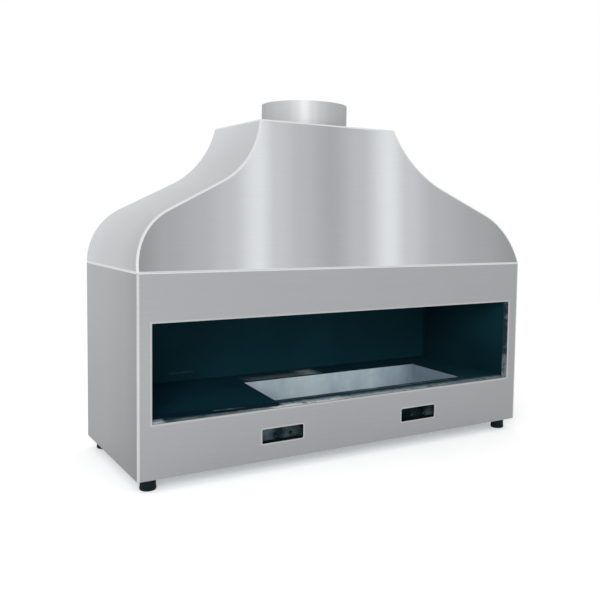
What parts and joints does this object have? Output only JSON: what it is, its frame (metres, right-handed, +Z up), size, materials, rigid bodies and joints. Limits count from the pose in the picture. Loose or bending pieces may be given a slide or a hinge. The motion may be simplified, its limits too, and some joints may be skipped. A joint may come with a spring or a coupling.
{
  "type": "charbroiler grill",
  "caption": "Hooded charcoal grill: stainless casing with a wide fire window, charcoal pan in a black deck, sliding air shutters, ogee smoke hood and round flue collar.",
  "frame": {"origin": "on the floor under the middle of the casing, level with the undersides of the feet", "axes": "+X to the grill's right as the cook faces it, +Y to its back, +Z up"},
  "size_m": [1.5, 0.565, 1.225],
  "materials": {
    "stainless_panel": "brushed",
    "stainless_hood": "brushed",
    "stainless_flue": "rolled satin",
    "stainless_pan": "satin, heat-dulled",
    "black_lining": "heat-resistant black, matt",
    "black_deck": "heat-resistant black, sooted",
    "black_cover": "seasoned black steel plate",
    "grate_iron": "as cast, ashy",
    "frame_steel": "zinc plated",
    "bolt_steel": "zinc plated",
    "ceramic_fibre": "ceramic fibre board",
    "fibre_gasket": "woven fibre tape",
    "foot_rubber": "moulded, matt"
  },
  "bodies": {
    "casing": {"front_panel": "stainless_panel", "left_side_panel": "stainless_panel", "right_side_panel": "stainless_panel", "back_panel": "stainless_panel", "base_plate": "stainless_panel", "corner_post_front_left": "frame_steel", "corner_post_front_right": "frame_steel", "corner_post_rear_left": "frame_steel", "corner_post_rear_right": "frame_steel", "casing_joint_frame": "frame_steel", "hood_joint_frame": "frame_steel", "joint_gasket": "fibre_gasket", "joint_bolts": "bolt_steel", "joint_nuts": "bolt_steel", "back_liner": "black_lining", "left_liner": "black_lining", "right_liner": "black_lining", "front_liner": "black_lining", "insulation_back": "ceramic_fibre", "insulation_left": "ceramic_fibre", "insulation_right": "ceramic_fibre", "insulation_front": "ceramic_fibre", "hearth_deck": "black_deck", "deck_bearer_front": "black_deck", "deck_bearer_rear": "black_deck", "deck_bearer_left": "black_deck", "deck_bearer_right": "black_deck", "deck_screws": "bolt_steel", "charcoal_pan": "stainless_pan", "grate_ledge_front": "stainless_pan", "grate_ledge_rear": "stainless_pan", "shutter_rails_left": "stainless_panel", "shutter_rails_right": "stainless_panel", "hood_front": "stainless_hood", "hood_back": "stainless_hood", "hood_side_left": "stainless_hood", "hood_side_right": "stainless_hood", "hood_top": "stainless_hood", "flue_collar": "stainless_flue", "foot_nut_plates": "frame_steel"},
    "air_shutter_left": {"air_shutter_left": "stainless_panel"},
    "air_shutter_right": {"air_shutter_right": "stainless_panel"},
    "cover_plate": {"cover_plate": "black_cover"},
    "charcoal_grate_1": {"charcoal_grate_1": "grate_iron"},
    "charcoal_grate_2": {"charcoal_grate_2": "grate_iron"},
    "charcoal_grate_3": {"charcoal_grate_3": "grate_iron"},
    "charcoal_grate_4": {"charcoal_grate_4": "grate_iron"},
    "foot_front_left": {"foot_pad_front_left": "foot_rubber", "foot_stud_front_left": "bolt_steel"},
    "foot_front_right": {"foot_pad_front_right": "foot_rubber", "foot_stud_front_right": "bolt_steel"},
    "foot_rear_left": {"foot_pad_rear_left": "foot_rubber", "foot_stud_rear_left": "bolt_steel"},
    "foot_rear_right": {"foot_pad_rear_right": "foot_rubber", "foot_stud_rear_right": "bolt_steel"}
  },
  "joints": [
    {"name": "air_shutter_left_slide", "type": "slide", "parent": "casing", "child": "air_shutter_left", "axis": [1, 0, 0], "range_m": [0, 0.1465]},
    {"name": "air_shutter_right_slide", "type": "slide", "parent": "casing", "child": "air_shutter_right", "axis": [-1, 0, 0], "range_m": [0, 0.1465]},
    {"name": "cover_plate_lift", "type": "slide", "parent": "casing", "child": "cover_plate", "axis": [0, 0, 1], "range_m": [0, 0.2]},
    {"name": "charcoal_grate_1_lift", "type": "slide", "parent": "casing", "child": "charcoal_grate_1", "axis": [0, 0, 1], "range_m": [0, 0.08]},
    {"name": "charcoal_grate_2_lift", "type": "slide", "parent": "casing", "child": "charcoal_grate_2", "axis": [0, 0, 1], "range_m": [0, 0.08]},
    {"name": "charcoal_grate_3_lift", "type": "slide", "parent": "casing", "child": "charcoal_grate_3", "axis": [0, 0, 1], "range_m": [0, 0.08]},
    {"name": "charcoal_grate_4_lift", "type": "slide", "parent": "casing", "child": "charcoal_grate_4", "axis": [0, 0, 1], "range_m": [0, 0.08]},
    {"name": "foot_front_left_screw", "type": "slide", "parent": "casing", "child": "foot_front_left", "axis": [0, 0, -1], "range_m": [0, 0.015]},
    {"name": "foot_front_right_screw", "type": "slide", "parent": "casing", "child": "foot_front_right", "axis": [0, 0, -1], "range_m": [0, 0.015]},
    {"name": "foot_rear_left_screw", "type": "slide", "parent": "casing", "child": "foot_rear_left", "axis": [0, 0, -1], "range_m": [0, 0.015]},
    {"name": "foot_rear_right_screw", "type": "slide", "parent": "casing", "child": "foot_rear_right", "axis": [0, 0, -1], "range_m": [0, 0.015]}
  ]
}
